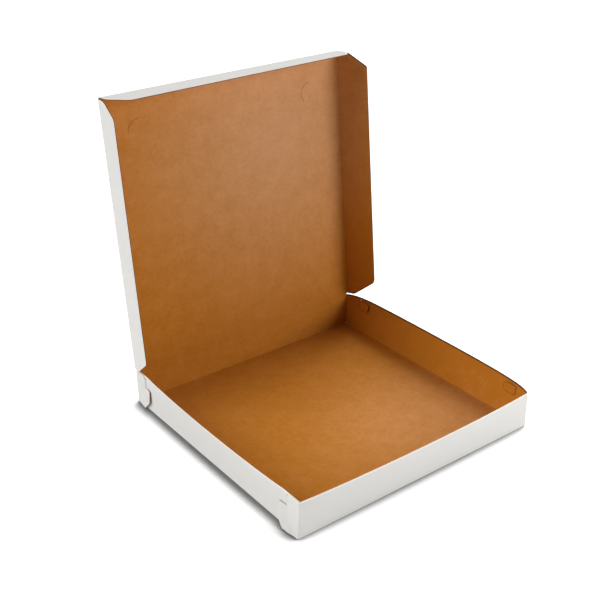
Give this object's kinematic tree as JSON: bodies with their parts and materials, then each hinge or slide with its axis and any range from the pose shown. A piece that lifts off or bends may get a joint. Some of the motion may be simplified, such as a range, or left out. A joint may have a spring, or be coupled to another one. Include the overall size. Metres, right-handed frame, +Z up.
{
  "type": "pizza box",
  "caption": "Flat square folding box of thin paperboard with lock corners and a hinged lid with closing flaps, standing open.",
  "frame": {"origin": "on the surface that the box stands on, in the middle of the tray's floor", "axes": "+X to the right along the front wall, +Y to the rear, where the lid is hinged, +Z up"},
  "size_m": [0.3281, 0.3313, 0.355],
  "materials": {
    "kraft_board": "matte"
  },
  "bodies": {
    "tray": {"tray": "kraft_board"},
    "lid": {"lid_panel": "kraft_board"},
    "left_flap": {"lid_left_flap": "kraft_board"},
    "right_flap": {"lid_right_flap": "kraft_board"},
    "front_flap": {"lid_front_flap": "kraft_board"}
  },
  "joints": [
    {"name": "lid_hinge", "type": "hinge", "parent": "tray", "child": "lid", "pos_m": [0, 0.1538, 0.0424], "axis": [1, 0, 0], "range_deg": [-85.7, 94.3]},
    {"name": "left_flap_fold", "type": "hinge", "parent": "lid", "child": "left_flap", "pos_m": [-0.15455, 0.1538, 0.0424], "axis": [0, -0.075, -0.9972], "range_deg": [-1.5, 82.5]},
    {"name": "right_flap_fold", "type": "hinge", "parent": "lid", "child": "right_flap", "pos_m": [0.15455, 0.1538, 0.0424], "axis": [0, 0.075, 0.9972], "range_deg": [-12, 72]},
    {"name": "front_flap_fold", "type": "hinge", "parent": "lid", "child": "front_flap", "pos_m": [0, 0.17694, 0.35013], "axis": [-1, 0, 0], "range_deg": [-2, 88]}
  ]
}
